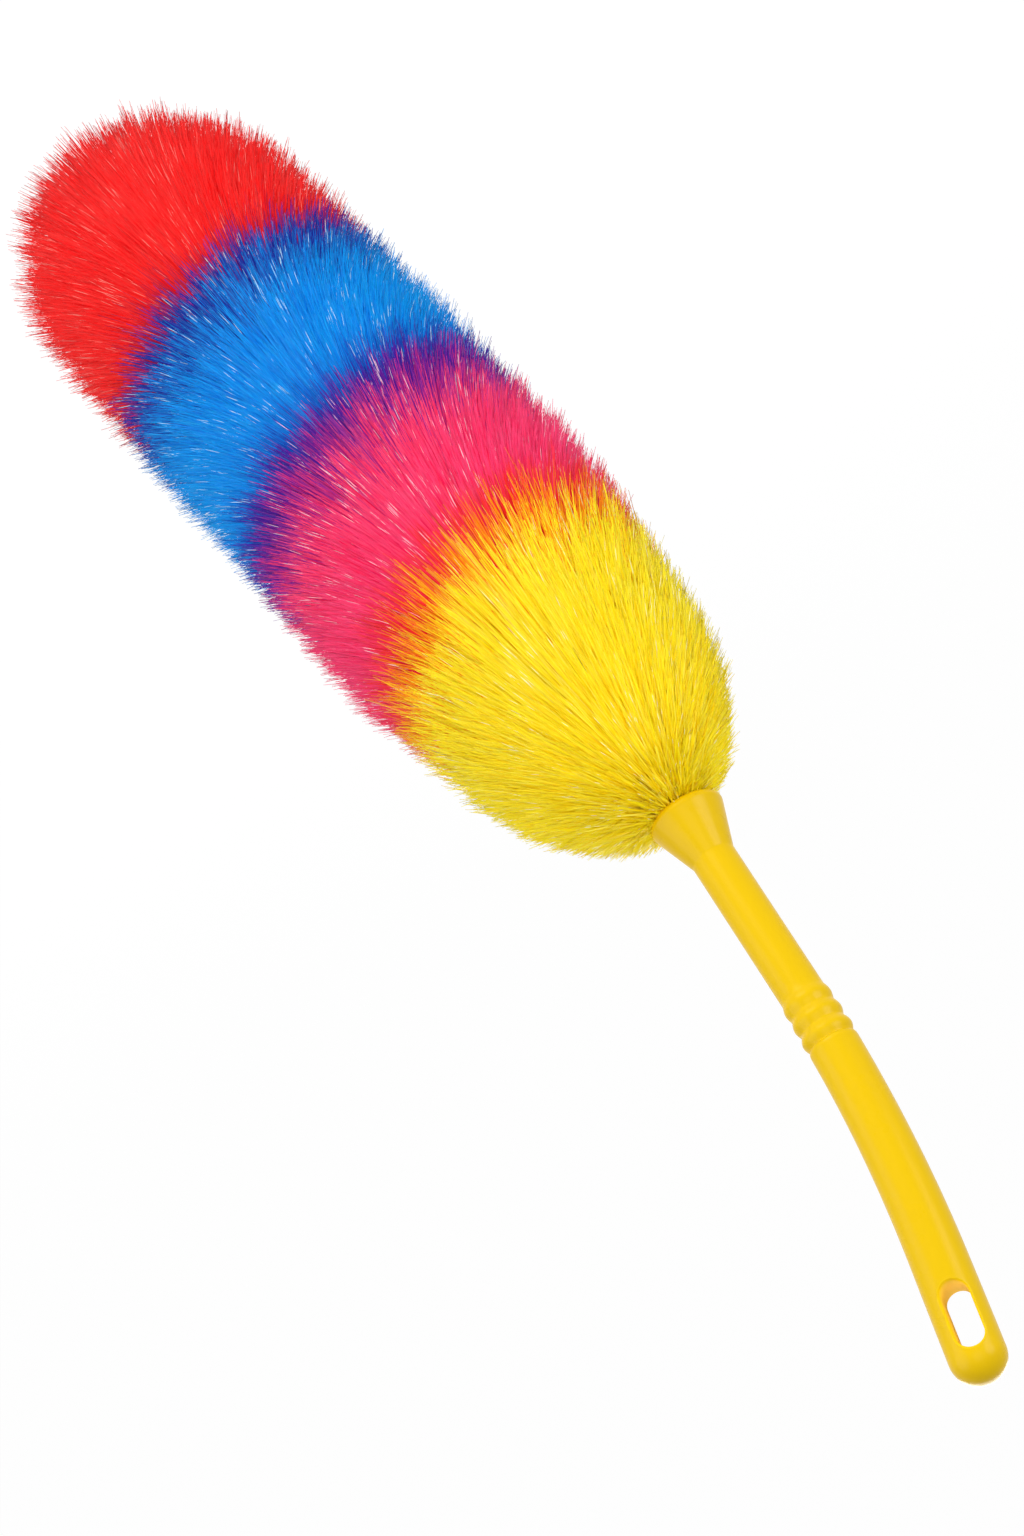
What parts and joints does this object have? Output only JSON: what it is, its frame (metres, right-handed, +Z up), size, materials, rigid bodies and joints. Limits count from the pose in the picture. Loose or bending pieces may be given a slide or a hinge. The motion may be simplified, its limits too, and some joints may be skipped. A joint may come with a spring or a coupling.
{
  "type": "feather duster",
  "caption": "Long-reach duster: a fluffy domed head of soft plastic fibres in bands of colour on a twisted wire stem, set in a curved moulded handle with a hang slot.",
  "frame": {"origin": "where a hook bears: the middle of the upper end of the hang slot, at the handle's free end", "axes": "+Z up as the duster hangs, handle above and head below; the hang slot runs through along Y; +X is the side that the head leans to, and the grip curves in the XZ plane"},
  "size_m": [0.1764, 0.1467, 0.6971],
  "materials": {
    "handle_plastic": "satin moulded plastic",
    "fibres_yellow": "fine soft translucent fibres",
    "fibres_pink": "fine soft translucent fibres",
    "fibres_blue": "fine soft translucent fibres",
    "fibres_red": "fine soft translucent fibres",
    "plug_plastic": "plain moulded plastic",
    "wire_steel": "drawn galvanised wire"
  },
  "bodies": {
    "root": {"handle": "handle_plastic", "fibres_yellow": "fibres_yellow", "fibres_pink": "fibres_pink", "fibres_blue": "fibres_blue", "fibres_red": "fibres_red", "stem_plug": "plug_plastic", "stem_wire_a": "wire_steel", "stem_wire_b": "wire_steel", "tip_cap": "plug_plastic"}
  },
  "joints": []
}
